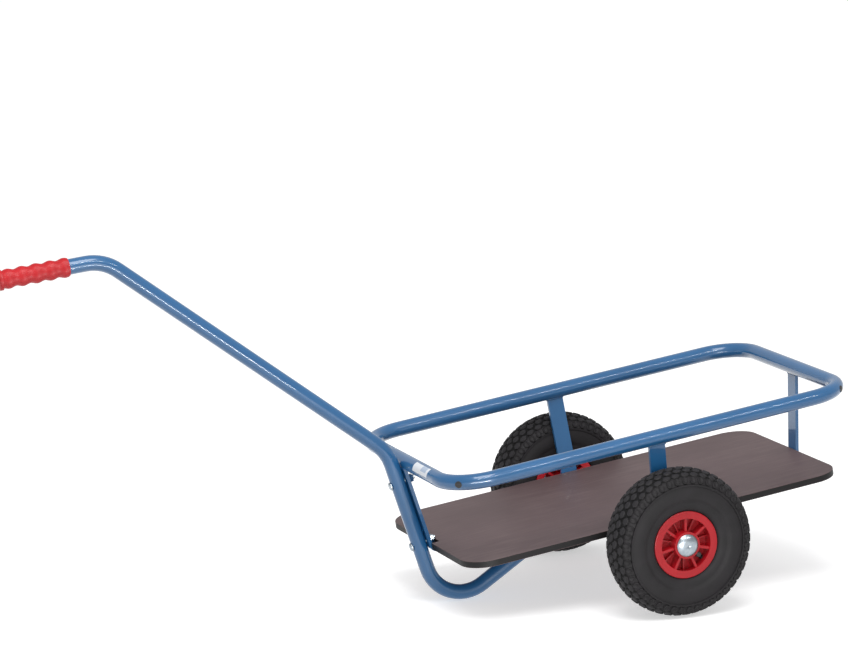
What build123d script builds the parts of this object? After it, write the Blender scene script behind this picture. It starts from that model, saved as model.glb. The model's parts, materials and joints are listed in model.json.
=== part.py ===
"""Two-wheeled hand cart: a bent tube drawbar, a guard rail and a plywood deck on pneumatic wheels.

Units are millimetres.  Most pieces are drawn in the deck's own coordinates: X along the deck
towards the rear, Y across it, and height measured from the deck's top face.  At rest the cart
leans forward on the drawbar's foot, so the deck's plane is tilted about the Y axis.
"""
from build123d import *
from math import asin, atan2, cos, degrees, hypot, pi, radians, sin, tan
import os

os.makedirs("parts", exist_ok=True)

# ---------------------------------------------------------------- driving dimensions
deck_length = 716.0
deck_width = 400.0
deck_thickness = 12.0
deck_corner = 50.0
deck_edge_round = 0.8

tube_diameter = 26.9
tube_wall = 2.3

rail_end_overhang = 20.0        # rail's tube centre outside the deck's front and rear edges
rail_side_overhang = 23.5
rail_height = 148.3             # tube centre above the deck's top face
rail_offset = 3.0               # rail's middle behind the deck's middle
rail_corner = 72.0

bar_width = 30.0                # flat bar of the posts and brackets
bar_thickness = 6.0
bend_inside = 1.2               # inside radius of the bends at the deck's sides and rear
front_bend_inside = 8.0         # inside radius of the bend in the deck's front notch
post_bend = 30.0                # where a post leans out from the deck's edge
post_gap = 0.5                  # between a post and the deck's edge

leg_lean = 10.3                 # degrees, leg and front post from the deck's normal
leg_to_rail = 0.5               # gap between the leg and the rail's front tube
elbow_height = 174.8            # corner of the leg and the diagonal
diagonal_slope = 44.75          # degrees from the deck
handle_height = 617.4           # corner of the diagonal and the handle
handle_length = 182.0           # from that corner to the tube's end
handle_rise = 1.7               # degrees
foot_depth = 138.3              # corner of the leg and the rising run, below the deck's top
foot_radius = 70.0
foot_rise = 25.0                # degrees, run from the foot up to the axle
handle_radius = 80.0
elbow_radius = 80.0
tail_radius = 80.0
post_reach = 5.0                # front post's top below the rail's tube centre

grip_length = 120.0
grip_thickness = 1.45           # in the hollows between the swellings
grip_swell = 1.3
grip_rows = 5
grip_collar_rise = 4.55         # collar above the tube
grip_collar_width = 4.0
grip_end_wall = 2.5

axle_offset = 3.0               # axle behind the deck's middle
axle_diameter = 20.0
saddle_width = 10.0
saddle_inset = 35.0             # saddle's middle inside the deck's side
axle_end_depth = 1.5            # axle's end below the inside of its cap
axle_chamfer = 0.8

tyre_radius = 130.0
tyre_width = 80.0
tyre_shoulder_drop = 11.0
tyre_shoulder_inset = 6.0
tyre_belly_drop = 38.0
tyre_toe = 8.0                  # bead's width on the rim's seat
tyre_wall = 4.0
tyre_crown = 9.0
tread_groove_width = 4.0
tread_groove_depth = 4.0
tread_groove_spacing = 14.0
wheel_gap = 20.0                # between a tyre and the deck's side
inner_tube_wall = 1.5
inner_tube_gap = 1.0
inner_tube_round = 0.7          # corner radius over half its width

rim_seat_radius = 50.0
rim_wall = 4.0
rim_inset = 8.0                 # rim's lip inside the tyre's side
rim_lip_height = 9.1
rim_lip_thickness = 3.6
rim_lip_round = 1.4
rim_overlap = 0.5               # by which the moulded features run into each other
spoke_overlap = 1.0
hub_wall = 9.48
hub_stand = 5.0                 # hub's end outside the rim's lip
spoke_count = 7
spoke_thickness = 4.4
spoke_recess = 2.0              # spoke front behind the lip's face
rib_thickness = 2.0
rib_recess = 12.0               # rib front behind the lip's face
web_start = 8.0
web_end = 11.0
boss_radius = 4.5
boss_inset = 11.0               # boss's middle inside the rim's seat
boss_turn = 11.0                # degrees between a rib and the boss beside it
rim_screw_radius = 2.5
rim_screw_head_radius = 4.5
rim_screw_head_height = 3.0

bearing_length = 18.0
bearing_recess = 1.0
roller_count = 8
roller_radius = 1.96
roller_length = 13.0
running_clearance = 0.05
cage_clearance = 0.1
cage_wall = 2.4

valve_inset = 16.4              # valve's bend inside the rim's seat
valve_height = 15.5             # valve's radial run from the wheel's middle plane
valve_stem_radius = 2.5
valve_foot_radius = 4.0
valve_cap_radius = 4.6
valve_cap_length = 8.0
valve_cap_round = 1.2
valve_cap_stand = 1.0
valve_foot_depth = 2.0

cap_inset = 3.9                 # cap's edge inside the hub's
cap_gap = 0.5
cap_height = 6.6
cap_sheet = 1.2
cap_dimple = 3.0
cap_shoulder = 0.72             # dome's fullest point over the cap's radius
cap_shoulder_drop = 1.3
cap_inner_shift = 0.6
stop_ring_wall = 6.0
stop_ring_width = 3.0
stop_ring_gap = 0.4

bolt_radius = 4.0
bolt_hole_clearance = 0.3
hex_flats = 13.0
head_radius = 7.2               # domed bolt head
head_height = 3.8
head_round = 3.0
nut_height = 6.8
bolt_end = 3.5
washer_radius = 8.0
washer_thickness = 1.6
upper_bolt_height = 115.0
lower_bolt_height = -1.0
notch_clearance = 2.0
notch_depth = 15.0
notch_corner = 4.0

deck_screw_radius = 2.5
deck_screw_grip = 9.0
deck_screw_head_radius = 5.0
deck_screw_head_height = 2.6
deck_screw_side = 80.0          # cross bracket's screws inside the deck's sides
deck_screw_end = 88.0           # end screws inside the deck's front and rear edges

plug_radius = 6.0
plug_stem_radius = 4.8
plug_stem_length = 5.0
plug_rise = 0.8
label_length = 65.0
label_inset = 24.5              # from the end of the rail's corner
label_low = 5.0                 # degrees round the tube, up from level
label_high = 79.0
label_thickness = 0.3

fit_gap = 0.2

# ---------------------------------------------------------------- derived sizes, deck coordinates
tube_radius = tube_diameter / 2
axle_radius = axle_diameter / 2
rail_length = deck_length + 2 * rail_end_overhang
rail_width = deck_width + 2 * rail_side_overhang
grip_radius = tube_radius + grip_thickness
grip_collar_radius = tube_radius + grip_collar_rise
bend_radius = bend_inside + bar_thickness / 2
deck_screw_spacing = deck_width - 2 * deck_screw_side
deck_screw_reach = deck_length / 2 - deck_screw_end
saddle_spacing = deck_width - 2 * saddle_inset
label_start = label_inset + rail_corner - rail_width / 2
wheel_track = deck_width + 2 * wheel_gap + tyre_width
tyre_shoulder_radius = tyre_radius - tyre_shoulder_drop
tyre_belly_radius = tyre_radius - tyre_belly_drop
rim_half_width = tyre_width / 2 - rim_inset
rim_lip_radius = rim_seat_radius + rim_lip_height
rib_height = rim_half_width - rib_recess
roller_circle = axle_radius + running_clearance + roller_radius
hub_bore = roller_circle + roller_radius + running_clearance
hub_radius = hub_bore + hub_wall
hub_half_length = rim_half_width + hub_stand
boss_circle = rim_seat_radius - boss_inset
valve_circle = rim_seat_radius - valve_inset
cap_radius = hub_radius - cap_inset
stop_ring_radius = axle_radius + stop_ring_wall
bar_centre = -deck_thickness - bar_thickness / 2
bar_under = -deck_thickness - bar_thickness
axle_height = bar_under - tube_radius
rail_front = rail_offset - rail_length / 2
rail_rear = rail_offset + rail_length / 2
deck_front = -deck_length / 2
deck_rear = deck_length / 2
side_post_foot = deck_width / 2 + post_gap + bar_thickness / 2
rear_post_foot = deck_rear + post_gap + bar_thickness / 2

lean = radians(leg_lean)
leg_top = rail_front - (tube_diameter + leg_to_rail) / cos(lean)


def leg_at(height):
    """X of the leg's centre line at a height."""
    return leg_top + (rail_height - height) * tan(lean)


def post_at(height):
    """X of the front post's centre plane at a height."""
    return leg_at(height) + (tube_radius + bar_thickness / 2) / cos(lean)


foot_corner = (leg_at(-foot_depth), -foot_depth)
elbow = (leg_at(elbow_height), elbow_height)
handle_corner = (
    elbow[0] - (handle_height - elbow_height) / tan(radians(diagonal_slope)),
    handle_height,
)
handle_end = (
    handle_corner[0] - handle_length * cos(radians(handle_rise)),
    handle_corner[1] + handle_length * sin(radians(handle_rise)),
)
tail_corner = (foot_corner[0] + (axle_height + foot_depth) / tan(radians(foot_rise)), axle_height)
tail_end = (axle_offset, axle_height)

# The foot's bend: its tangent point on the leg, then its centre.
foot_turn = radians(90 - leg_lean + foot_rise)
foot_tangent = foot_radius * tan(foot_turn / 2)
foot_centre = (
    foot_corner[0] - foot_tangent * sin(lean) + foot_radius * cos(lean),
    foot_corner[1] + foot_tangent * cos(lean) + foot_radius * sin(lean),
)

# Rest tilt: the floor touches the tyres and the outside of the foot's bend.
span_x = axle_offset - foot_centre[0]
span_z = axle_height - foot_centre[1]
tilt = asin((tyre_radius - foot_radius - tube_radius) / hypot(span_x, span_z)) - atan2(span_z, span_x)

# Origin: middle of the length and width, on the floor.
handle_turn = tilt - radians(handle_rise)
length_ahead = handle_end[1] * sin(tilt) - handle_end[0] * cos(tilt)
length_ahead += grip_end_wall * cos(handle_turn) + grip_collar_radius * sin(handle_turn)
length_behind = rail_rear * cos(tilt) - rail_height * sin(tilt) + tube_radius
deck_level = tyre_radius - axle_offset * sin(tilt) - axle_height * cos(tilt)
deck_plane = Plane(
    origin=((length_ahead - length_behind) / 2, 0, deck_level),
    x_dir=(cos(tilt), 0, sin(tilt)),
    z_dir=(-sin(tilt), 0, cos(tilt)),
)


# ---------------------------------------------------------------- planes and helpers
def level(height):
    """Plane parallel to the deck at a height."""
    return deck_plane.offset(height)


def point(x, height, y=0.0):
    """World point from deck coordinates."""
    return deck_plane.from_local_coords(Vector(x, y, height))


def along(x, height):
    """World direction from deck coordinates."""
    return deck_plane.x_dir * x + deck_plane.z_dir * height


def side_plane(y=0.0):
    """Plane seen from the side: X is the deck's X and Y is height."""
    return Plane(origin=point(0, 0, y), x_dir=deck_plane.x_dir, z_dir=(0, -1, 0))


def cross_plane(x):
    """Plane seen from the front: X is the deck's Y and Y is height."""
    return Plane(origin=point(x, 0), x_dir=(0, 1, 0), z_dir=deck_plane.x_dir)


def bolt_plane(height):
    """Plane through the leg's centre line, its normal along a drawbar bolt towards the rear."""
    centre = point(leg_at(height), height)
    return Plane(origin=centre, x_dir=(0, 1, 0), z_dir=along(cos(lean), sin(lean)))


def finish(piece, name):
    """Label one sub-part and write it."""
    piece.label = name
    export_step(piece, f"parts/{name}.step")


axle_centre = point(axle_offset, axle_height)
axle_line = Plane(origin=axle_centre, x_dir=(1, 0, 0), z_dir=(0, -1, 0))
bolt_planes = [bolt_plane(upper_bolt_height), bolt_plane(lower_bolt_height)]
notch_width = bar_width + 2 * notch_clearance


# ---------------------------------------------------------------- deck
with BuildPart() as deck_panel:
    with BuildSketch(level(-deck_thickness)):
        RectangleRounded(deck_length, deck_width, deck_corner)
        with Locations((deck_front, 0)):
            RectangleRounded(2 * notch_depth, notch_width, notch_corner, mode=Mode.SUBTRACT)
    extrude(amount=deck_thickness)
    rims = deck_panel.faces().filter_by(deck_plane).edges()
    fillet(rims, deck_edge_round)
    with BuildSketch(level(-deck_thickness)):
        with Locations((axle_offset, 0)):
            with GridLocations(1, deck_screw_spacing, 1, 2):
                Circle(deck_screw_radius)
        with GridLocations(2 * deck_screw_reach, 1, 2, 1):
            Circle(deck_screw_radius)
    extrude(amount=deck_screw_grip, mode=Mode.SUBTRACT)
finish(deck_panel.part, "deck_panel")


# ---------------------------------------------------------------- guard rail
def rail_route():
    """Closed centre line of the rail."""
    with BuildLine(level(rail_height), mode=Mode.PRIVATE) as route:
        FilletPolyline(
            (rail_front, -rail_width / 2),
            (rail_rear, -rail_width / 2),
            (rail_rear, rail_width / 2),
            (rail_front, rail_width / 2),
            radius=rail_corner,
            close=True,
        )
    return route.wires()[0]


def rail_corner_plane(end, side):
    """Plane on the rail's outside at the middle of a corner, its normal pointing outwards."""
    inset = rail_corner * (1 - cos(pi / 4)) - tube_radius * cos(pi / 4)
    x = rail_offset + end * (rail_length / 2 - inset)
    y = side * (rail_width / 2 - inset)
    return Plane(origin=point(x, rail_height, y), z_dir=deck_plane.x_dir * end + Vector(0, side, 0))


rail_corners = [rail_corner_plane(end, side) for end in (-1, 1) for side in (-1, 1)]

with BuildPart() as guard_rail:
    centre_line = rail_route()
    with BuildSketch(Plane(origin=centre_line @ 0, z_dir=centre_line % 0)):
        Circle(tube_radius)
        Circle(tube_radius - tube_wall, mode=Mode.SUBTRACT)
    sweep(path=centre_line)
    for place in rail_corners:
        with BuildSketch(place.offset(plug_rise)):
            Circle(plug_stem_radius)
        extrude(amount=-tube_radius, mode=Mode.SUBTRACT)
finish(guard_rail.part, "guard_rail")

with BuildPart() as rail_plugs:
    for place in rail_corners:
        with BuildSketch(place.offset(-plug_stem_length)):
            Circle(plug_stem_radius)
        extrude(amount=plug_stem_length + plug_rise)
        with BuildSketch(place.offset(-tube_wall)):
            Circle(plug_radius)
            Circle(plug_stem_radius, mode=Mode.SUBTRACT)
        extrude(amount=tube_wall + plug_rise)
    centre_line = rail_route()
    section_place = Plane(origin=centre_line @ 0, z_dir=centre_line % 0)
    with BuildSketch(section_place, mode=Mode.PRIVATE) as cap_section:
        Circle(tube_radius + plug_rise)
    sweep(sections=cap_section.sketch, path=centre_line, mode=Mode.INTERSECT)
    add(guard_rail.part, mode=Mode.SUBTRACT)
finish(rail_plugs.part, "rail_plugs")

with BuildPart() as label:
    with BuildSketch(side_plane(label_start + label_length)):
        with Locations((rail_front, rail_height)):
            Circle(tube_radius + label_thickness)
            Circle(tube_radius, mode=Mode.SUBTRACT)
        low = radians(180 - label_low)
        high = radians(180 - label_high)
        reach = 3 * tube_radius
        with BuildLine():
            Polyline(
                (rail_front, rail_height),
                (rail_front + reach * cos(low), rail_height + reach * sin(low)),
                (rail_front + reach * cos(high), rail_height + reach * sin(high)),
                close=True,
            )
        make_face(mode=Mode.INTERSECT)
    extrude(amount=label_length)
finish(label.part, "label")


# ---------------------------------------------------------------- drawbar
with BuildPart() as drawbar_tube:
    with BuildLine(side_plane()) as route:
        FilletPolyline(
            handle_end,
            handle_corner,
            elbow,
            foot_corner,
            tail_corner,
            tail_end,
            radius=[handle_radius, elbow_radius, foot_radius, tail_radius],
        )
    centre_line = route.wires()[0]
    with BuildSketch(Plane(origin=centre_line @ 0, z_dir=centre_line % 0)):
        Circle(tube_radius)
        Circle(tube_radius - tube_wall, mode=Mode.SUBTRACT)
    sweep(path=centre_line)
    with BuildSketch(axle_line):
        Circle(axle_radius)
    extrude(amount=tube_diameter, both=True, mode=Mode.SUBTRACT)
    for place in bolt_planes:
        with BuildSketch(place):
            Circle(bolt_radius + bolt_hole_clearance)
        extrude(amount=tube_diameter, both=True, mode=Mode.SUBTRACT)
print("drawbar length", centre_line.length)
drawbar_solid = drawbar_tube.part.solids().sort_by(SortBy.VOLUME)[-1]
finish(drawbar_solid, "drawbar_tube")

handle_direction = centre_line % 0
grip_normal = handle_direction.cross(Vector(0, 1, 0)) * -1
grip_section = Plane(origin=centre_line @ 0, x_dir=(0, 1, 0), z_dir=grip_normal)

with BuildPart() as grip:
    row = (grip_length - grip_collar_width) / grip_rows
    with BuildSketch(grip_section):
        with BuildLine():
            ends = [(grip_radius, grip_collar_width + row * step) for step in range(grip_rows + 1)]
            Polyline(
                ends[0],
                (grip_collar_radius, grip_collar_width),
                (grip_collar_radius, -grip_end_wall),
                (0, -grip_end_wall),
                (0, 0),
                (tube_radius, 0),
                (tube_radius, grip_length),
                ends[-1],
            )
            for start, end in zip(ends, ends[1:]):
                ThreePointArc(start, (grip_radius + grip_swell, (start[1] + end[1]) / 2), end)
        make_face()
    revolve(axis=Axis(grip_section.origin, handle_direction))
finish(grip.part, "grip")


# ---------------------------------------------------------------- flat bar brackets
def bar_holes(spots, amount):
    """Clearance holes for the deck screws, drilled up through a bar."""
    with BuildSketch(level(bar_under)) as holes:
        with Locations(*spots):
            Circle(deck_screw_radius + fit_gap)
    extrude(holes.sketch, amount=amount, mode=Mode.SUBTRACT)


def cope(plane, spot):
    """Trim the top of a post to the rail's tube."""
    with BuildSketch(plane) as tube:
        with Locations(spot):
            Circle(tube_radius)
    extrude(tube.sketch, amount=2 * bar_width, both=True, mode=Mode.SUBTRACT)


cross_spots = [(axle_offset, side * deck_screw_spacing / 2) for side in (-1, 1)]

with BuildPart() as cross_bracket:
    with BuildSketch(cross_plane(axle_offset)):
        with BuildLine():
            FilletPolyline(
                (-rail_width / 2, rail_height),
                (-side_post_foot, 0),
                (-side_post_foot, bar_centre),
                (side_post_foot, bar_centre),
                (side_post_foot, 0),
                (rail_width / 2, rail_height),
                radius=[post_bend, bend_radius, bend_radius, post_bend],
            )
        trace(line_width=bar_thickness)
    extrude(amount=bar_width / 2, both=True)
    for side in (-1, 1):
        cope(cross_plane(axle_offset), (side * rail_width / 2, rail_height))
    bar_holes(cross_spots, bar_thickness)
cross_solid = cross_bracket.part.solids().sort_by(SortBy.VOLUME)[-1]
finish(cross_solid, "cross_bracket")

front_top = rail_height - post_reach

with BuildPart() as front_bracket:
    with BuildSketch(side_plane()):
        with BuildLine():
            FilletPolyline(
                (post_at(front_top), front_top),
                (post_at(bar_centre), bar_centre),
                (axle_offset - bar_width / 2, bar_centre),
                radius=front_bend_inside + bar_thickness / 2,
            )
        trace(line_width=bar_thickness)
    extrude(amount=bar_width / 2, both=True)
    cope(side_plane(), (rail_front, rail_height))
    for place in bolt_planes:
        with BuildSketch(place):
            Circle(bolt_radius + bolt_hole_clearance)
        extrude(amount=tube_diameter, mode=Mode.SUBTRACT)
    bar_holes([(-deck_screw_reach, 0)], bar_thickness)
front_solid = front_bracket.part.solids().sort_by(SortBy.VOLUME)[-1]
finish(front_solid, "front_bracket")

with BuildPart() as rear_bracket:
    with BuildSketch(side_plane()):
        with BuildLine():
            FilletPolyline(
                (axle_offset + bar_width / 2, bar_centre),
                (rear_post_foot, bar_centre),
                (rear_post_foot, 0),
                (rail_rear, rail_height),
                radius=[bend_radius, post_bend],
            )
        trace(line_width=bar_thickness)
    extrude(amount=bar_width / 2, both=True)
    cope(side_plane(), (rail_rear, rail_height))
    bar_holes([(deck_screw_reach, 0)], bar_thickness)
rear_solid = rear_bracket.part.solids().sort_by(SortBy.VOLUME)[-1]
finish(rear_solid, "rear_bracket")

with BuildPart() as deck_screws:
    for spot in cross_spots + [(-deck_screw_reach, 0), (deck_screw_reach, 0)]:
        with BuildSketch(level(bar_under - deck_screw_head_height)):
            with Locations(spot):
                Circle(deck_screw_head_radius)
        extrude(amount=deck_screw_head_height)
        with BuildSketch(level(bar_under)):
            with Locations(spot):
                Circle(deck_screw_radius)
        extrude(amount=bar_thickness + deck_screw_grip)
finish(deck_screws.part, "deck_screws")


# ---------------------------------------------------------------- drawbar fasteners
with BuildPart() as drawbar_bolts:
    for place in bolt_planes:
        with BuildSketch(place.offset(-tube_radius - head_height)):
            Circle(head_radius)
        extrude(amount=head_height)
    circles = drawbar_bolts.edges().filter_by(GeomType.CIRCLE)
    for place in bolt_planes:
        face_line = Axis(place.origin, place.z_dir)
        near = circles.filter_by(lambda edge: (edge.arc_center - place.origin).length < tube_diameter)
        fillet(near.sort_by(face_line)[0], head_round)
    for place in bolt_planes:
        with BuildSketch(place.offset(-tube_radius)):
            Circle(bolt_radius)
        shank = tube_diameter + bar_thickness + washer_thickness + nut_height + bolt_end
        extrude(amount=shank)
finish(drawbar_bolts.part, "drawbar_bolts")

with BuildPart() as drawbar_washers:
    for place in bolt_planes:
        with BuildSketch(place.offset(tube_radius + bar_thickness)):
            Circle(washer_radius)
            Circle(bolt_radius, mode=Mode.SUBTRACT)
        extrude(amount=washer_thickness)
finish(drawbar_washers.part, "drawbar_washers")

for place, name in zip(bolt_planes, ("upper_nut", "lower_nut")):
    with BuildPart() as nut:
        with BuildSketch(place.offset(tube_radius + bar_thickness + washer_thickness)):
            RegularPolygon(radius=hex_flats / 2, side_count=6, major_radius=False)
            Circle(bolt_radius, mode=Mode.SUBTRACT)
        extrude(amount=nut_height)
    finish(nut.part, name)


# ---------------------------------------------------------------- axle
cap_base = hub_half_length + cap_gap
axle_end = wheel_track / 2 + cap_base + cap_height - cap_sheet - axle_end_depth

with BuildPart() as axle:
    with BuildSketch(axle_line):
        Circle(axle_radius)
    extrude(amount=axle_end, both=True)
    ends = axle.edges().filter_by(GeomType.CIRCLE)
    chamfer(ends, axle_chamfer)
finish(axle.part, "axle")

with BuildPart() as axle_saddles:
    for side in (-1, 1):
        with BuildSketch(side_plane(side * saddle_spacing / 2)):
            with Locations((axle_offset, axle_height)):
                Circle(bar_under - axle_height)
            with Locations((axle_offset, (axle_height + bar_under) / 2)):
                Rectangle(2 * (bar_under - axle_height), bar_under - axle_height)
            with Locations((axle_offset, axle_height)):
                Circle(axle_radius, mode=Mode.SUBTRACT)
        extrude(amount=saddle_width / 2, both=True)
finish(axle_saddles.part, "axle_saddles")

with BuildPart() as axle_stop_rings:
    for side in (-1, 1):
        stop = wheel_track / 2 - hub_half_length - stop_ring_gap - stop_ring_width / 2
        with BuildSketch(axle_line.offset(side * stop)):
            Circle(stop_ring_radius)
            Circle(axle_radius, mode=Mode.SUBTRACT)
        extrude(amount=stop_ring_width / 2, both=True)
finish(axle_stop_rings.part, "axle_stop_rings")


# ---------------------------------------------------------------- wheels
def wheel_plane(side, depth=0.0):
    """Plane across a wheel, its normal pointing outwards and its Y up."""
    return Plane(
        origin=axle_centre + Vector(0, side * (wheel_track / 2 + depth), 0),
        x_dir=(-side, 0, 0),
        z_dir=(0, side, 0),
    )


def half_plane(side, facing, depth=0.0):
    """Plane across one half of a wheel: facing 1 looks outwards and -1 looks inwards."""
    return Plane(
        origin=axle_centre + Vector(0, side * (wheel_track / 2 + facing * depth), 0),
        x_dir=(-side * facing, 0, 0),
        z_dir=(0, side * facing, 0),
    )


def section_plane(side, facing=1):
    """Radial half-section of a wheel: X is the radius and Y the distance along the axle."""
    return Plane(origin=wheel_plane(side).origin, x_dir=(1, 0, 0), z_dir=(0, 0, side * facing))


def wheel_axis(side):
    return Axis(wheel_plane(side).origin, (0, 1, 0))


def ring(side, facing, inner, outer, start, end):
    """Turned ring between two radii and two distances along the axle."""
    with BuildSketch(half_plane(side, facing, start)) as section:
        Circle(outer)
        Circle(inner, mode=Mode.SUBTRACT)
    extrude(section.sketch, amount=end - start)


bay = 360 / spoke_count
valve_turn = 90 - 2.5 * bay
rib_turns = [90 + (step + 0.5) * bay for step in range(spoke_count)]


def spoke_turns(side_facing, turns):
    """Angles mirrored for the half that looks inwards."""
    return [turn if side_facing > 0 else 180 - turn for turn in turns]


def make_tyre(side, name):
    half = tyre_width / 2
    bead = rim_half_width - rim_lip_thickness
    toe = bead - tyre_toe
    lip = rim_lip_radius + fit_gap
    shoulder = half - tyre_shoulder_inset
    inner_shoulder = shoulder - tyre_wall
    inner_radius = tyre_shoulder_radius - tyre_wall
    with BuildPart() as tyre:
        with BuildSketch(section_plane(side)):
            with BuildLine():
                Polyline((rim_seat_radius, toe), (rim_seat_radius, bead), (lip, bead))
                ThreePointArc((lip, bead), (tyre_belly_radius, half), (tyre_shoulder_radius, shoulder))
                ThreePointArc(
                    (tyre_shoulder_radius, shoulder),
                    (tyre_radius, 0),
                    (tyre_shoulder_radius, -shoulder),
                )
                ThreePointArc((tyre_shoulder_radius, -shoulder), (tyre_belly_radius, -half), (lip, -bead))
                Polyline((lip, -bead), (rim_seat_radius, -bead), (rim_seat_radius, -toe))
                Line((rim_seat_radius, -toe), (rim_lip_radius, -toe))
                ThreePointArc(
                    (rim_lip_radius, -toe),
                    (tyre_belly_radius, tyre_wall - half),
                    (inner_radius, -inner_shoulder),
                )
                ThreePointArc(
                    (inner_radius, -inner_shoulder),
                    (tyre_radius - tyre_crown, 0),
                    (inner_radius, inner_shoulder),
                )
                ThreePointArc(
                    (inner_radius, inner_shoulder),
                    (tyre_belly_radius, half - tyre_wall),
                    (rim_lip_radius, toe),
                )
                Line((rim_lip_radius, toe), (rim_seat_radius, toe))
            make_face()
            with Locations((tyre_radius, 0)):
                with GridLocations(1, tread_groove_spacing, 1, 4):
                    Rectangle(2 * tread_groove_depth, tread_groove_width, mode=Mode.SUBTRACT)
        revolve(axis=wheel_axis(side))
    finish(tyre.part, name)


def make_inner_tube(side, name):
    """Hollow rubber tube inside the tyre, its valve side lying on the rim."""
    low = rim_seat_radius + fit_gap
    high = tyre_radius - tyre_crown - inner_tube_gap
    half = rim_half_width - rim_lip_thickness - tyre_toe - fit_gap
    with BuildPart() as inner_tube:
        with BuildSketch(section_plane(side)):
            with Locations(((low + high) / 2, 0)):
                RectangleRounded(high - low, 2 * half, half * inner_tube_round)
                offset(amount=-inner_tube_wall, mode=Mode.SUBTRACT)
        revolve(axis=wheel_axis(side))
    finish(inner_tube.part, name)


def make_rim_half(side, facing, name):
    """One moulded half of the rim: hub, web, spokes, ribs, barrel and lip."""
    front = rim_half_width - spoke_recess
    foot = web_end - rim_overlap
    barrel = rim_seat_radius - rim_wall
    arm = (hub_radius + barrel) / 2
    arm_length = barrel - hub_radius + 2 * spoke_overlap
    spokes = [90 + step * bay for step in range(spoke_count)]
    ribs = [turn for turn in rib_turns if abs(turn - valve_turn - 360) > 1]
    bosses = [turn + boss_turn for turn in rib_turns]
    with BuildPart() as rim:
        ring(side, facing, hub_bore, hub_radius, 0, hub_half_length)
        ring(side, facing, hub_radius - rim_overlap, rim_seat_radius - rim_overlap, web_start, web_end)
        ring(side, facing, barrel, rim_seat_radius, 0, rim_half_width)
        lip_start = rim_half_width - rim_lip_thickness
        ring(side, facing, rim_seat_radius - rim_overlap, rim_lip_radius, lip_start, rim_half_width)
        with BuildSketch(half_plane(side, facing, foot)):
            for turn in spoke_turns(facing, spokes):
                with PolarLocations(arm, 1, start_angle=turn):
                    Rectangle(arm_length, spoke_thickness)
        extrude(amount=front - foot)
        with BuildSketch(half_plane(side, facing, foot)):
            for turn in spoke_turns(facing, ribs):
                with PolarLocations(arm, 1, start_angle=turn):
                    Rectangle(arm_length, rib_thickness)
        extrude(amount=rib_height - foot)
        with BuildSketch(half_plane(side, facing)):
            for turn in spoke_turns(facing, bosses):
                with PolarLocations(boss_circle, 1, start_angle=turn):
                    Circle(boss_radius)
        extrude(amount=web_end)
        with BuildSketch(half_plane(side, facing)):
            for turn in spoke_turns(facing, bosses):
                with PolarLocations(boss_circle, 1, start_angle=turn):
                    Circle(rim_screw_radius)
        extrude(amount=web_start if facing > 0 else web_end, mode=Mode.SUBTRACT)
        if facing > 0:
            with BuildSketch(valve_drill(side)):
                Circle(valve_foot_radius + fit_gap)
            extrude(amount=rim_seat_radius, mode=Mode.SUBTRACT)
        circles = rim.edges().filter_by(GeomType.CIRCLE)
        outermost = circles.filter_by(lambda edge: edge.radius > rim_lip_radius - fit_gap)
        fillet(outermost, rim_lip_round)
    finish(rim.part, name)


def valve_drill(side):
    """Plane at the valve's bend, its normal pointing outwards along the wheel's radius."""
    place = wheel_plane(side, valve_height)
    turn = radians(valve_turn)
    return Plane(
        origin=place.from_local_coords(Vector(valve_circle * cos(turn), valve_circle * sin(turn), 0)),
        x_dir=place.z_dir,
        z_dir=place.x_dir * cos(turn) + place.y_dir * sin(turn),
    )


def make_valve_stem(side, name):
    """Angled stem: out of the barrel along the radius, then along the axle."""
    drill = valve_drill(side)
    foot_start = rim_seat_radius - rim_wall - valve_foot_depth - valve_circle
    with BuildPart() as stem:
        with BuildSketch(drill.offset(-valve_stem_radius)):
            Circle(valve_stem_radius)
        extrude(amount=foot_start + valve_stem_radius)
        with BuildSketch(drill.offset(foot_start)):
            Circle(valve_foot_radius)
        extrude(amount=rim_wall + valve_foot_depth)
        with BuildSketch(Plane(origin=drill.origin, z_dir=drill.x_dir)):
            Circle(valve_stem_radius)
        extrude(amount=valve_cap_length)
    finish(stem.part, name)


def make_valve_cap(side, name):
    drill = valve_drill(side)
    mouth = Plane(origin=drill.origin, z_dir=drill.x_dir)
    with BuildPart() as cap:
        with BuildSketch(mouth.offset(valve_stem_radius + valve_cap_stand)):
            Circle(valve_cap_radius)
        extrude(amount=valve_cap_length)
        tip = cap.faces().sort_by(Axis(drill.origin, drill.x_dir))[-1].edges()
        fillet(tip, valve_cap_round)
        with BuildSketch(mouth):
            Circle(valve_stem_radius)
        extrude(amount=valve_cap_length, mode=Mode.SUBTRACT)
    finish(cap.part, name)


bearing_start = hub_half_length - bearing_recess - bearing_length
roller_start = bearing_start + (bearing_length - roller_length) / 2


def make_bearing_cages(side, name):
    with BuildPart() as cages:
        for facing in (-1, 1):
            ring(
                side,
                facing,
                roller_circle - cage_wall / 2,
                roller_circle + cage_wall / 2,
                bearing_start,
                bearing_start + bearing_length,
            )
            with BuildSketch(half_plane(side, facing, roller_start - cage_clearance)):
                with PolarLocations(roller_circle, roller_count):
                    Circle(roller_radius + cage_clearance)
            extrude(amount=roller_length + 2 * cage_clearance, mode=Mode.SUBTRACT)
    finish(cages.part, name)


def make_bearing_rollers(side, name):
    with BuildPart() as rollers:
        for facing in (-1, 1):
            with BuildSketch(half_plane(side, facing, roller_start)):
                with PolarLocations(roller_circle, roller_count):
                    Circle(roller_radius)
            extrude(amount=roller_length)
    finish(rollers.part, name)


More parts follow.
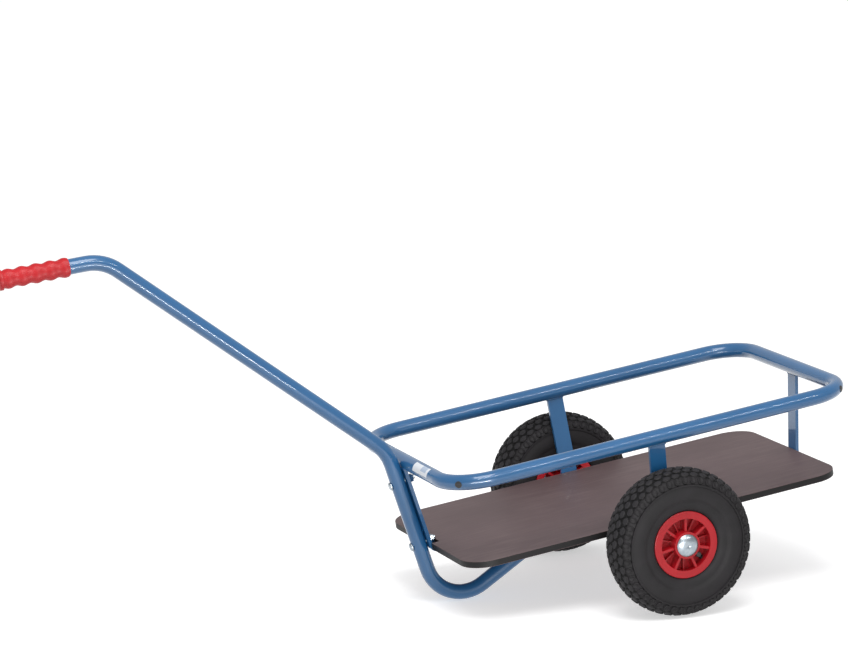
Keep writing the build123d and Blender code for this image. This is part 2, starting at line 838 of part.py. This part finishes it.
def make_rim_screws(side, name):
    """Screws that hold the two rim halves together, driven from the inner side."""
    turns = [180 - turn - boss_turn for turn in rib_turns]
    with BuildPart() as screws:
        for turn in turns:
            with BuildSketch(half_plane(side, -1, web_end)):
                with PolarLocations(boss_circle, 1, start_angle=turn):
                    Circle(rim_screw_head_radius)
            extrude(amount=rim_screw_head_height)
            with BuildSketch(half_plane(side, -1, web_end)):
                with PolarLocations(boss_circle, 1, start_angle=turn):
                    Circle(rim_screw_radius)
            extrude(amount=-web_end - web_start)
    finish(screws.part, name)


def make_axle_cap(side, name):
    """Push-on cap: a sprung base ring on the axle under a dimpled dome."""
    top = cap_base + cap_height
    seat = cap_base + cap_sheet
    full = cap_radius * cap_shoulder
    with BuildPart() as cap:
        with BuildSketch(section_plane(side)):
            with BuildLine():
                Polyline(
                    (axle_radius, seat),
                    (axle_radius, cap_base),
                    (cap_radius, cap_base),
                    (cap_radius, seat),
                )
                ThreePointArc((cap_radius, seat), (full, top - cap_shoulder_drop), (cap_dimple, top))
                Polyline(
                    (cap_dimple, top),
                    (0, top - cap_sheet),
                    (0, top - 2 * cap_sheet),
                    (cap_dimple, top - cap_sheet),
                )
                ThreePointArc(
                    (cap_dimple, top - cap_sheet),
                    (full - cap_inner_shift, top - cap_shoulder_drop - cap_sheet),
                    (cap_radius - cap_sheet, seat),
                )
                Line((cap_radius - cap_sheet, seat), (axle_radius, seat))
            make_face()
        revolve(axis=wheel_axis(side))
    finish(cap.part, name)


for side, hand in ((-1, "left"), (1, "right")):
    make_tyre(side, f"{hand}_tyre")
    make_inner_tube(side, f"{hand}_inner_tube")
    make_rim_half(side, 1, f"{hand}_rim_outer")
    make_rim_half(side, -1, f"{hand}_rim_inner")
    make_rim_screws(side, f"{hand}_rim_screws")
    make_bearing_cages(side, f"{hand}_bearing_cages")
    make_bearing_rollers(side, f"{hand}_bearing_rollers")
    make_valve_stem(side, f"{hand}_valve_stem")
    make_valve_cap(side, f"{hand}_valve_cap")
    make_axle_cap(side, f"{hand}_axle_cap")

print("tilt", degrees(tilt), "deck origin", deck_plane.origin, "axle", axle_centre)
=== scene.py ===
import json
from math import atan2, cos, exp, pi, radians, sin, sqrt

import bmesh
import bpy
from mathutils import Matrix, Vector


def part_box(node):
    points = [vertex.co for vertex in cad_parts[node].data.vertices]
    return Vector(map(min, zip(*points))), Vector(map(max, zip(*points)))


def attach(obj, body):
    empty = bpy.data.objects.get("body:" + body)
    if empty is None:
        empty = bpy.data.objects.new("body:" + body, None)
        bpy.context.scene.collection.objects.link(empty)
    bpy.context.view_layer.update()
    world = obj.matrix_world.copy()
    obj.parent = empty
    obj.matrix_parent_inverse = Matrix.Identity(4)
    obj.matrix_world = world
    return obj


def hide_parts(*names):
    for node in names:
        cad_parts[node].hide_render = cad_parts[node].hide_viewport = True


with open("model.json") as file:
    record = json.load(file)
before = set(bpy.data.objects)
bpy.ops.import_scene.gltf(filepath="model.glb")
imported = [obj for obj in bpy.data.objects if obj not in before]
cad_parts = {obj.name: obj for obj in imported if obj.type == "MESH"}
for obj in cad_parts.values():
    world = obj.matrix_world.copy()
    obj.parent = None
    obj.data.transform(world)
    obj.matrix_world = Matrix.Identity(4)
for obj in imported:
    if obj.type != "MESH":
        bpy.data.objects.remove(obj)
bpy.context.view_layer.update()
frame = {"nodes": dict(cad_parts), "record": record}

MM = 0.001
RECORD = frame["record"]
NODES = frame["nodes"]
HANDS = (("left", -1), ("right", 1))

DECK_MOUNT = RECORD["mounts"][0]
DECK_ORIGIN = Vector(DECK_MOUNT["pos_m"])
DECK_UP = Vector(DECK_MOUNT["axis"]).normalized()
DECK_ACROSS = Vector((0.0, 1.0, 0.0))
DECK_ALONG = DECK_ACROSS.cross(DECK_UP)


# ------------------------------------------------------------------ shader maths
class Value:
    """A socket that adds Math nodes when it is used in a Python expression."""

    def __init__(self, finish, socket):
        self.finish = finish
        self.socket = socket

    def _math(self, operation, *terms):
        return self.finish.node(
            "ShaderNodeMath", {"operation": operation}, dict(enumerate(terms))
        )["Value"]

    def __add__(self, other):
        return self._math("ADD", self, other)

    def __sub__(self, other):
        return self._math("SUBTRACT", self, other)

    def __mul__(self, other):
        return self._math("MULTIPLY", self, other)

    def above(self, level):
        return self._math("GREATER_THAN", self, level)

    def below(self, level):
        return self._math("LESS_THAN", self, level)

    def absolute(self):
        return self._math("ABSOLUTE", self)


# Socket names that title case alone does not give.
SOCKETS = {"specular_ior_level": "Specular IOR Level"}

# Mix repeats its socket names for each data type, so the colour ones go by index.
MIX_FACTOR, MIX_FIRST, MIX_SECOND, MIX_RESULT = 0, 6, 7, 2


class Node:
    """A shader node whose outputs are read by name."""

    def __init__(self, finish, node):
        self.finish = finish
        self.raw = node

    def __getitem__(self, output):
        return Value(self.finish, self.raw.outputs[output])


class Finish:
    """A material under construction."""

    def __init__(self, name):
        self.material = bpy.data.materials.new(name)
        self.material.use_nodes = True
        self.tree = self.material.node_tree
        self.tree.nodes.clear()
        self.shader = self.node("ShaderNodeBsdfPrincipled")
        self.node("ShaderNodeOutputMaterial", inputs={"Surface": self.shader["BSDF"]})
        self.place = self.node("ShaderNodeTexCoord")["Object"]

    def node(self, kind, settings=None, inputs=None):
        node = self.tree.nodes.new(kind)
        for name, setting in (settings or {}).items():
            if name == "stops":
                ramp = node.color_ramp
                while len(ramp.elements) < len(setting):
                    ramp.elements.new(0.5)
                for element, (position, colour) in zip(ramp.elements, setting):
                    element.position = position
                    element.color = (*colour, 1.0)
            else:
                setattr(node, name, setting)
        for name, term in (inputs or {}).items():
            self.feed(node.inputs[name], term)
        return Node(self, node)

    def feed(self, socket, term):
        if isinstance(term, Value):
            self.tree.links.new(term.socket, socket)
        else:
            socket.default_value = term

    def set(self, **terms):
        """Feed the shader's own sockets: base_color is Base Color."""
        for name, term in terms.items():
            if isinstance(term, tuple) and len(term) == 3:
                term = (*term, 1.0)
            label = SOCKETS.get(name, name.replace("_", " ").title())
            self.feed(self.shader.raw.inputs[label], term)

    def mapped(self, turn=(0, 0, 0)):
        return self.node(
            "ShaderNodeMapping", inputs={"Vector": self.place, "Rotation": turn}
        )["Vector"]

    def noise(self, scale, detail=3.0, roughness=0.5, place=None):
        return self.node(
            "ShaderNodeTexNoise",
            inputs={
                "Vector": place or self.mapped(),
                "Scale": scale,
                "Detail": detail,
                "Roughness": roughness,
            },
        )["Fac"]

    def ramp(self, factor, *stops):
        return self.node("ShaderNodeValToRGB", {"stops": stops}, {"Fac": factor})["Color"]

    def mix(self, factor, first, second):
        first = (*first, 1.0) if isinstance(first, tuple) else first
        second = (*second, 1.0) if isinstance(second, tuple) else second
        terms = {MIX_FACTOR: factor, MIX_FIRST: first, MIX_SECOND: second}
        mix = self.node("ShaderNodeMix", {"data_type": "RGBA"}, terms)
        return Value(self, mix.raw.outputs[MIX_RESULT])

    def bump(self, height, distance, strength):
        terms = {"Height": height, "Distance": distance, "Strength": strength}
        self.set(normal=self.node("ShaderNodeBump", inputs=terms)["Normal"])


def srgb(red, green, blue):
    """Linear colour from the usual 0 to 255 values."""
    return tuple(
        ((v / 255 + 0.055) / 1.055) ** 2.4 if v > 10 else v / 255 / 12.92
        for v in (red, green, blue)
    )


def deck_tilt():
    """Angle by which the deck falls towards its front edge, in radians."""
    return atan2(-DECK_UP.x, DECK_UP.z)


def centre_of(box):
    low, high = box
    return (Vector(low) + Vector(high)) / 2


# ------------------------------------------------------------------ tyre sizes, mm
TREAD_PITCH = 44                # blocks in one row round the tyre
LUG_PITCH = 48                  # shoulder lugs round the tyre
CROWN_TOP = 129.9               # radius at the middle of the tread
CROWN_ARC = 62.0                # radius of the crown across the tread
BLOCK_HEIGHT = 4.6
TREAD_DEPTH = 3.6
TREAD_ROWS = (-25.6, -12.8, 0.0, 12.8, 25.6)
FLANK_START = 29.5              # distance from the tyre's middle where its flank begins


# ------------------------------------------------------------------ finishes
def blue_powder_coat():
    f = Finish("blue powder coat")
    cloud = f.noise(9.0, 2.0)
    f.set(base_color=f.ramp(cloud, (0.3, srgb(29, 91, 140)), (0.7, srgb(36, 99, 150))))
    peel = f.noise(650.0, 1.0)
    f.set(roughness=f.noise(60.0, 3.0) * 0.08 + 0.3, specular_ior_level=0.3)
    f.set(coat_weight=0.9, coat_roughness=0.04)
    f.bump(peel, 0.00008, 0.1)
    return f.material


DECK_THICKNESS = 12.0
FILM_EDGE = 0.9                 # depth to which the film's colour wraps over an edge


def film_plywood():
    """Brown phenolic film on the faces, dark sealed plies on the edges."""
    f = Finish("film-faced plywood")
    centred = f.mapped(turn=(0.0, deck_tilt(), 0.0))
    height = f.node(
        "ShaderNodeVectorMath",
        {"operation": "DOT_PRODUCT"},
        {0: f.place, 1: tuple(DECK_UP)},
    )["Value"] - DECK_ORIGIN.dot(DECK_UP)
    film = height.above(-FILM_EDGE * MM) + height.below((FILM_EDGE - DECK_THICKNESS) * MM)
    grain_place = f.node(
        "ShaderNodeMapping", inputs={"Vector": centred, "Scale": (2.2, 26.0, 26.0)}
    )["Vector"]
    grain = f.noise(6.0, 5.0, 0.62, grain_place)
    mottle = f.noise(7.0, 4.0, 0.55)
    shade = grain * 0.55 + mottle * 0.45
    film_colour = f.ramp(
        shade, (0.36, srgb(88, 71, 72)), (0.52, srgb(97, 80, 81)), (0.66, srgb(109, 92, 92))
    )
    ply_place = f.node(
        "ShaderNodeMapping", inputs={"Vector": centred, "Scale": (1.0, 1.0, 180.0)}
    )["Vector"]
    plies = f.noise(4.0, 2.0, 0.5, ply_place)
    ply = f.ramp(plies, (0.35, srgb(8, 6, 7)), (0.65, srgb(15, 12, 13)))
    f.set(base_color=f.mix(film, ply, film_colour))
    f.set(roughness=shade * 0.18 + 0.42, specular_ior_level=0.28)
    f.bump(f.noise(420.0, 2.0) * 0.6 + grain * 0.4, 0.00016, 0.4)
    return f.material


def red_moulding(name, low, high, roughness, coat):
    f = Finish(name)
    cloud = f.noise(22.0, 3.0)
    f.set(base_color=f.ramp(cloud, (0.3, low), (0.7, high)))
    f.set(roughness=f.noise(90.0, 2.0) * 0.1 + roughness, specular_ior_level=0.32)
    f.set(coat_weight=coat, coat_roughness=0.2)
    f.bump(f.noise(900.0, 2.0), 0.00008, 0.35)
    return f.material


def black_rubber(name, low, high, roughness):
    f = Finish(name)
    dust = f.noise(30.0, 4.0, 0.6)
    f.set(base_color=f.ramp(dust, (0.35, low), (0.7, high)))
    f.set(roughness=f.noise(120.0, 3.0) * 0.14 + roughness, specular_ior_level=0.28)
    f.bump(f.noise(1400.0, 3.0, 0.6), 0.00014, 0.45)
    return f.material


GROOVE_SHADE_HEIGHT = 0.6               # height above a groove's floor that still gets the full painted shade
SHADE_FADE_RISE = 2.2                 # height over which the painted groove shade fades into lighter block tops


def tyre_rubber():
    """Rubber with painted shade darkening the grooves and lighter block tops, told apart by
    height above the carcass.
    """
    f = Finish("tyre rubber")
    middle = centre_of(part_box("left_tyre"))
    spot = f.node("ShaderNodeSeparateXYZ", inputs={"Vector": f.place})
    spoke = f.node(
        "ShaderNodeCombineXYZ", inputs={"X": spot["X"] - middle.x, "Z": spot["Z"] - middle.z}
    )["Vector"]
    radius = f.node("ShaderNodeVectorMath", {"operation": "LENGTH"}, {0: spoke})["Value"]
    across = (spot["Y"].absolute() - abs(middle.y)).absolute()
    height = radius + across * across * (0.5 / (CROWN_ARC * MM))
    groove_top = CROWN_TOP - TREAD_DEPTH + GROOVE_SHADE_HEIGHT
    shade_fade = (height - groove_top * MM) * (1 / (SHADE_FADE_RISE * MM))
    # Painted shade: the tread colour is darkest in the grooves and lightens towards the block
    # tops.
    tread = f.ramp(shade_fade, (0.0, srgb(13, 12, 13)), (1.0, srgb(37, 35, 38)))
    dust = f.noise(30.0, 4.0, 0.6)
    flank = f.ramp(dust, (0.35, srgb(22, 20, 22)), (0.7, srgb(32, 29, 32)))
    f.set(base_color=f.mix(across.below(FLANK_START * MM), flank, tread))
    f.set(roughness=f.noise(120.0, 3.0) * 0.14 + 0.58, specular_ior_level=0.28)
    f.bump(f.noise(1400.0, 3.0, 0.6), 0.00014, 0.45)
    return f.material


def bright_metal(name, low, high, roughness):
    f = Finish(name)
    spangle = f.noise(160.0, 3.0)
    f.set(base_color=f.ramp(spangle, (0.35, low), (0.65, high)), metallic=1.0)
    f.set(roughness=f.noise(240.0, 3.0) * 0.08 + roughness)
    f.bump(f.noise(900.0, 2.0), 0.00002, 0.2)
    return f.material


def plain_plastic(name, low, high, roughness):
    f = Finish(name)
    f.set(base_color=f.ramp(f.noise(40.0, 3.0), (0.3, low), (0.7, high)))
    f.set(roughness=f.noise(110.0, 2.0) * 0.12 + roughness)
    f.bump(f.noise(800.0, 2.0), 0.00008, 0.3)
    return f.material


def printed_film():
    """White film with a plain pale-blue patch and no lettering."""
    f = Finish("label film")
    low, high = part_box("label")
    middle = centre_of((low, high))
    spot = f.node("ShaderNodeSeparateXYZ", inputs={"Vector": f.place})
    half_width = (high[1] - low[1]) / 2
    y = spot["Y"] - middle.y
    z = spot["Z"] - middle.z
    patch = y.above(-0.75 * half_width) * y.below(-0.05 * half_width) * z.above(-1.0 * MM)
    f.set(base_color=f.mix(patch * 0.55, srgb(228, 232, 238), srgb(120, 152, 190)))
    f.set(roughness=f.noise(150.0, 2.0) * 0.1 + 0.32)
    f.bump(f.noise(500.0, 2.0), 0.00005, 0.2)
    return f.material


FINISHES = {
    "blue_paint": blue_powder_coat(),
    "film_plywood": film_plywood(),
    "red_grip": red_moulding("soft red grip", srgb(182, 14, 24), srgb(194, 19, 30), 0.44, 0.05),
    "red_plastic": red_moulding(
        "moulded red rim", srgb(172, 12, 26), srgb(186, 18, 32), 0.34, 0.12
    ),
    "tyre_rubber": tyre_rubber(),
    "tube_rubber": black_rubber("tube rubber", srgb(24, 24, 25), srgb(34, 33, 34), 0.5),
    "zinc_steel": bright_metal(
        "bright zinc plate", srgb(146, 156, 164), srgb(166, 174, 180), 0.27
    ),
    "bright_steel": bright_metal("ground steel", srgb(180, 182, 186), srgb(204, 206, 208), 0.16),
    "black_plastic": plain_plastic("black plastic", srgb(26, 26, 27), srgb(38, 37, 38), 0.42),
    "white_plastic": plain_plastic(
        "natural plastic", srgb(208, 206, 198), srgb(222, 220, 214), 0.4
    ),
    "label_film": printed_film(),
}
SLOT_OF = {row["node"]: row["material_slot"] for row in RECORD["subparts"]}


def paint(piece, slot):
    piece.data.materials.clear()
    piece.data.materials.append(FINISHES[slot])


for node_name, node in NODES.items():
    if node.type == "MESH":
        for place in node.material_slots:
            place.material = FINISHES[SLOT_OF[node_name]]


# ------------------------------------------------------------------ mesh helpers
def piece(name, shape, slot, body, smooth):
    """Turn a bmesh into a piece that rides on a body, edges past smooth degrees kept sharp."""
    bmesh.ops.remove_doubles(shape, verts=shape.verts, dist=1e-6)
    bmesh.ops.recalc_face_normals(shape, faces=shape.faces)
    mesh = bpy.data.meshes.new(name)
    shape.to_mesh(mesh)
    shape.free()
    made = bpy.data.objects.new(name, mesh)
    bpy.context.scene.collection.objects.link(made)
    paint(made, slot)
    for face in mesh.polygons:
        face.use_smooth = True
    mesh.set_sharp_from_angle(angle=radians(smooth))
    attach(made, body)
    return made


def turned(shape, profile, steps, closed=True):
    """Profile of (radius, distance along Y) in mm turned once about the Y axis."""
    ring = [shape.verts.new((0.0, along * MM, radius * MM)) for radius, along in profile]
    ends = ring[1:] + ring[:1] if closed else ring[1:]
    edges = [shape.edges.new((a, b)) for a, b in zip(ring, ends)]
    bmesh.ops.spin(
        shape,
        geom=ring + edges,
        cent=(0, 0, 0),
        axis=(0, 1, 0),
        angle=2 * pi,
        steps=steps,
        use_merge=True,
    )


def stamp(shape, pattern, places):
    """Copy a small mesh into a shape at each placement matrix."""
    for place in places:
        copy = pattern.copy()
        copy.transform(place)
        shape.from_mesh(copy)
        bpy.data.meshes.remove(copy)


def block_pattern(name, segments, length, width, height, edge, dish=0.0):
    """Rounded block with its foot at the origin. A dish sinks the middle of its top."""
    shape = bmesh.new()
    bmesh.ops.create_cone(
        shape, cap_ends=True, segments=segments, radius1=0.5, radius2=0.46, depth=height * MM
    )
    half_step = Matrix.Rotation(pi / segments, 3, "Z")
    bmesh.ops.rotate(shape, verts=shape.verts, cent=(0, 0, 0), matrix=half_step)
    bmesh.ops.scale(shape, vec=(length * MM, width * MM, 1.0), verts=shape.verts)
    bmesh.ops.translate(shape, vec=(0, 0, height * MM / 2), verts=shape.verts)
    top = [face for face in shape.faces if face.normal.z > 0.9]
    bmesh.ops.bevel(
        shape,
        geom=[side for face in top for side in face.edges],
        offset=edge * MM,
        segments=2,
        profile=0.5,
        affect="EDGES",
        material=-1,
    )
    if dish:
        top = [face for face in shape.faces if face.normal.z > 0.99]
        rim = min(length, width) * 0.14
        bmesh.ops.inset_region(shape, faces=top, thickness=rim * MM, depth=-dish * MM)
    mesh = bpy.data.meshes.new(name)
    shape.to_mesh(mesh)
    shape.free()
    return mesh


# ------------------------------------------------------------------ wheels
def seat(shape, hand, side):
    """Move a piece modelled about the Y axis, its outside at +Y, to its own wheel."""
    if side < 0:
        half_turn = Matrix.Rotation(pi, 3, "Z")
        bmesh.ops.rotate(shape, verts=shape.verts, cent=(0, 0, 0), matrix=half_turn)
    bmesh.ops.translate(shape, verts=shape.verts, vec=centre_of(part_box(f"{hand}_tyre")))


def crown(across):
    """Radius of the tread's surface at a distance from the tyre's middle."""
    return CROWN_TOP - CROWN_ARC + sqrt(CROWN_ARC**2 - across**2)


def carcass_profile():
    """Outline of the tyre without its blocks: bead, flank, rib, shoulder, crown and inside."""
    side = [
        (50.0, 20.6), (50.0, 28.2), (59.3, 28.4), (60.4, 31.2), (63.5, 34.0),
        (68.5, 35.8), (74.0, 36.3), (77.4, 36.6), (79.6, 38.8), (83.0, 39.7),
        (89.0, 40.0), (96.0, 39.5), (101.6, 38.3), (103.8, 38.0), (104.5, 40.0),
        (106.7, 39.9), (107.6, 36.9), (111.0, 35.6), (115.0, 34.6), (118.0, 32.0),
    ]
    base = [(crown(y) - TREAD_DEPTH, y) for y in (25.6, 19.2, 12.8, 6.4, 0.0)]
    outer = side + base
    inner = [(116.0, 0.0), (112.0, 24.0), (96.0, 35.0), (70.0, 31.0), (59.0, 20.6)]
    far = [(r, -y) for r, y in outer[:-1]][::-1]
    inner_far = [(r, -y) for r, y in inner[1:]][::-1]
    return outer + far + inner_far + inner


def ring_places(count, shift, across, radius, lean):
    """Placements round the tyre: lean turns a block's top from the radius to the side."""
    seated = Matrix.Translation((0, across * MM, radius * MM))
    leaned = Matrix.Rotation(-lean, 4, "X")
    for step in range(count):
        turn = Matrix.Rotation(2 * pi * (step + shift) / count, 4, "Y")
        yield turn @ seated @ leaned


LUG_ACROSS = 33.2
LUG_FOOT = 112.9                # radius of a lug's foot
LUG_LEAN = radians(58)
BLOCK = block_pattern(
    "tread block", segments=6, length=16.4, width=12.4, height=BLOCK_HEIGHT, edge=1.3
)
LUG = block_pattern(
    "shoulder lug", segments=8, length=11.6, width=14.4, height=3.6, edge=0.8, dish=1.4
)


def tyre(hand, side):
    shape = bmesh.new()
    turned(shape, carcass_profile(), steps=144)
    for row, across in enumerate(TREAD_ROWS):
        lean = atan2(across, sqrt(CROWN_ARC**2 - across**2))
        foot = crown(across) - BLOCK_HEIGHT
        stamp(shape, BLOCK, ring_places(TREAD_PITCH, 0.5 * (row % 2), across, foot, lean))
    for flank in (-1, 1):
        places = ring_places(LUG_PITCH, 0.25, flank * LUG_ACROSS, LUG_FOOT, flank * LUG_LEAN)
        stamp(shape, LUG, places)
    seat(shape, hand, side)
    made = piece(f"{hand}_tyre_tread", shape, "tyre_rubber", f"{hand}_wheel", 50)
    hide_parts(f"{hand}_tyre")


def cap_profile():
    """Half outline of the pressed cap, from the dimple in its middle to its inside."""
    return [
        (0.0, 42.2), (1.2, 42.4), (2.0, 42.9), (3.2, 43.4), (6.0, 43.6), (10.0, 43.3),
        (14.0, 42.2), (17.2, 40.4), (19.0, 38.6), (19.55, 38.0), (19.55, 37.6),
        (10.05, 37.6), (10.05, 38.4), (17.8, 38.6), (13.0, 41.0), (6.0, 42.3), (0.0, 41.2),
    ]


def axle_cap(hand, side):
    shape = bmesh.new()
    turned(shape, cap_profile(), steps=96, closed=False)
    seat(shape, hand, side)
    made = piece(f"{hand}_cap_dome", shape, "zinc_steel", "frame", 35)
    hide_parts(f"{hand}_axle_cap")


for hand, side in HANDS:
    tyre(hand, side)
    axle_cap(hand, side)


# ------------------------------------------------------------------ grip
TUBE_RADIUS = 13.45
GRIP_RISE = radians(1.7)        # rise of the handle's end above the deck's own direction
GRIP_LENGTH = 120.0
GRIP_END = 2.5                  # thickness of the closed outer end
GRIP_MARGIN = 0.1               # clearance that keeps the sleeve inside its solid
GRIP_COLLAR = 4.0               # length of the collar at the outer end
GRIP_COLLAR_RADIUS = 18.0       # the solid's collar, which sets where the axis runs
SLEEVE_COLLAR_RADIUS = 17.7     # the moulded collar
COLLAR_ROUND = 1.2              # drop of the collar's radius at its outer face
COLLAR_FADE = 0.7               # distance over which that drop dies away
GRIP_ROWS = 4
ROW_TURN = radians(8)
SWELL_BASE = 14.1               # radius in the valleys
SWELL_RISE = 2.9
SWELL_SHARPNESS = 0.85
SWELL_PITCH = 24.6
SWELL_SHIFT = 1.3


def grip_radius(run, turn):
    """Radius of the moulded surface at a distance from the outer face."""
    beyond = run - GRIP_END - GRIP_COLLAR
    if beyond < 0:
        return SLEEVE_COLLAR_RADIUS - COLLAR_ROUND * exp(-run / COLLAR_FADE)
    around = cos(GRIP_ROWS / 2 * (turn - ROW_TURN))
    swell = 0.5 + 0.5 * around * cos(2 * pi * (beyond + SWELL_SHIFT) / SWELL_PITCH)
    return SWELL_BASE + SWELL_RISE * swell**SWELL_SHARPNESS


def grip():
    """Moulded grip: four rows of pillows, neighbouring rows half a pitch apart."""
    low = Vector(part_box("grip")[0])
    rise = GRIP_RISE - deck_tilt()
    axis = Vector((cos(rise), 0.0, -sin(rise)))
    across = DECK_ACROSS
    up = axis.cross(across) * -1
    to_axis = Vector((-sin(rise), 0.0, cos(rise))) * GRIP_COLLAR_RADIUS * MM
    start = Vector((low.x, 0.0, low.z)) + to_axis
    shape = bmesh.new()
    bmesh.ops.create_cone(
        shape, cap_ends=False, segments=144, radius1=0.5, radius2=0.5, depth=1.0
    )
    lengthwise = [
        edge for edge in shape.edges if abs(edge.verts[0].co.z - edge.verts[1].co.z) > 0.5
    ]
    bmesh.ops.subdivide_edges(shape, edges=lengthwise, cuts=160, use_grid_fill=True)
    full_run = GRIP_LENGTH + GRIP_END - 2 * GRIP_MARGIN
    for vertex in shape.verts:
        turn = atan2(vertex.co.x, vertex.co.y) % (2 * pi)
        run = GRIP_MARGIN + (vertex.co.z + 0.5) * full_run
        outward = across * cos(turn) + up * sin(turn)
        vertex.co = start + axis * run * MM + outward * grip_radius(run, turn) * MM
    rims = sorted(
        (edge for edge in shape.edges if edge.is_boundary),
        key=lambda edge: (edge.verts[0].co - start).dot(axis),
    )
    outer, inner = rims[: len(rims) // 2], rims[len(rims) // 2 :]
    bmesh.ops.contextual_create(shape, geom=outer)
    lip = bmesh.ops.extrude_edge_only(shape, edges=inner)
    for vertex in (item for item in lip["geom"] if isinstance(item, bmesh.types.BMVert)):
        away = vertex.co - start
        spoke = away - axis * away.dot(axis)
        vertex.co -= spoke.normalized() * (spoke.length - TUBE_RADIUS * MM)
    made = piece("grip_sleeve", shape, "red_grip", "frame", 80)
    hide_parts("grip")


grip()


# ------------------------------------------------------------------ welds
def deck_point(along, height, across):
    """Point from distances in mm along, above and across the deck."""
    return DECK_ORIGIN + (DECK_ALONG * along + DECK_UP * height + DECK_ACROSS * across) * MM


BEAD_RADIUS = 1.9
RIPPLE_GAP = 1.7                # distance between two ripples of a bead


def bead(name, run):
    """Weld bead: overlapping ripples laid along a run of points."""
    ripple = bmesh.new()
    bmesh.ops.create_icosphere(ripple, subdivisions=2, radius=BEAD_RADIUS * MM)
    mesh = bpy.data.meshes.new("ripple")
    ripple.to_mesh(mesh)
    ripple.free()
    shape = bmesh.new()
    stamp(shape, mesh, [Matrix.Translation(spot) for spot in run])
    piece(name, shape, "blue_paint", "frame", 80)


def steps(start, end):
    """Evenly spaced points from start to end, one for each ripple."""
    count = max(2, int((end - start).length / (RIPPLE_GAP * MM)))
    return [start.lerp(end, i / count) for i in range(count + 1)]


# Distances in mm along and above the deck.
rail_low, rail_high = (Vector(corner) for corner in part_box("guard_rail"))
RAIL_ACROSS = (rail_high.y - rail_low.y) / 2 / MM - TUBE_RADIUS
RAIL_HEIGHT = 148.3             # centre line of the rail above the deck
RAIL_MIDDLE = 3.0               # middle of the rail and of its side posts along the deck
RAIL_REACH = 378.0              # from there to the centre line of the rail's rear run
BAR_HALF = 15.0                 # half the width of a post
POST_FACES = (("inner", -4.2), ("outer", 2.2))


def under_tube(offset):
    """Height of a rail tube's underside at a distance from its centre line."""
    return RAIL_HEIGHT - sqrt(TUBE_RADIUS**2 - offset**2)


for hand, side in HANDS:
    for face, offset in POST_FACES:
        across = side * (RAIL_ACROSS + offset)
        height = under_tube(offset)
        front = deck_point(RAIL_MIDDLE - BAR_HALF, height, across)
        rear = deck_point(RAIL_MIDDLE + BAR_HALF, height, across)
        bead(f"{hand}_post_weld_{face}", steps(front, rear))
for face, offset in POST_FACES:
    along = RAIL_MIDDLE + RAIL_REACH + offset
    height = under_tube(offset)
    near = deck_point(along, height, -BAR_HALF)
    far = deck_point(along, height, BAR_HALF)
    bead(f"rear_post_weld_{face}", steps(near, far))


# ------------------------------------------------------------------ studio
def camera():
    data = bpy.data.cameras.new("camera")
    data.lens = 177.2
    data.sensor_width = 36.0
    data.clip_end = 100.0
    made = bpy.data.objects.new("camera", data)
    made.location = (-2.578, -6.626, 1.814)
    made.rotation_euler = (radians(79.519), radians(0.956), radians(-21.572))
    bpy.context.scene.collection.objects.link(made)
    bpy.context.scene.camera = made


def lamp(name, place, aim, size, power, height=None, gloss_only=False):
    """Area lamp. With gloss_only it is seen in reflections and lights nothing else."""
    data = bpy.data.lights.new(name, "AREA")
    data.energy = power
    data.size = size
    if height:
        data.shape = "RECTANGLE"
        data.size_y = height
    made = bpy.data.objects.new(name, data)
    made.visible_diffuse = not gloss_only
    made.location = place
    towards = Vector(aim) - Vector(place)
    made.rotation_euler = towards.to_track_quat("-Z", "Y").to_euler()
    bpy.context.scene.collection.objects.link(made)


def ground():
    """Pale floor that glows enough to read as a white studio sweep."""
    shape = bmesh.new()
    bmesh.ops.create_grid(shape, x_segments=1, y_segments=1, size=30.0)
    mesh = bpy.data.meshes.new("floor")
    shape.to_mesh(mesh)
    shape.free()
    made = bpy.data.objects.new("floor", mesh)
    bpy.context.scene.collection.objects.link(made)
    f = Finish("pale floor")
    low, high = (0.79, 0.79, 0.79), (0.81, 0.81, 0.81)
    f.set(base_color=f.ramp(f.noise(0.6, 2.0), (0.3, low), (0.7, high)))
    f.set(roughness=0.9, specular_ior_level=0.0)
    f.set(emission_color=(1.0, 1.0, 1.0), emission_strength=0.51)
    made.data.materials.append(f.material)
    made.visible_diffuse = False


def surround(strength):
    world = bpy.data.worlds.new("studio")
    world.use_nodes = True
    background = world.node_tree.nodes["Background"]
    background.inputs["Color"].default_value = (1.0, 1.0, 1.0, 1.0)
    background.inputs["Strength"].default_value = strength
    bpy.context.scene.world = world


camera()
ground()
surround(0.64)
bpy.context.scene.view_settings.view_transform = "Standard"
lamp("overhead", (-0.35, -1.4, 3.0), (0.1, 0.0, 0.2), 1.7, 60.0)
lamp(
    "upper strip", (0.5, -3.7, 3.2), (0.2, 0.0, 0.25), 5.0, 85.0, height=0.07, gloss_only=True
)
lamp(
    "lower strip", (-0.4, -1.5, 0.04), (-0.45, 0.0, 0.5), 1.3, 15.0, height=0.045, gloss_only=True
)
lamp("low fill", (-0.6, -3.2, 0.35), (0.2, 0.0, 0.0), 2.4, 16.0, height=0.5)
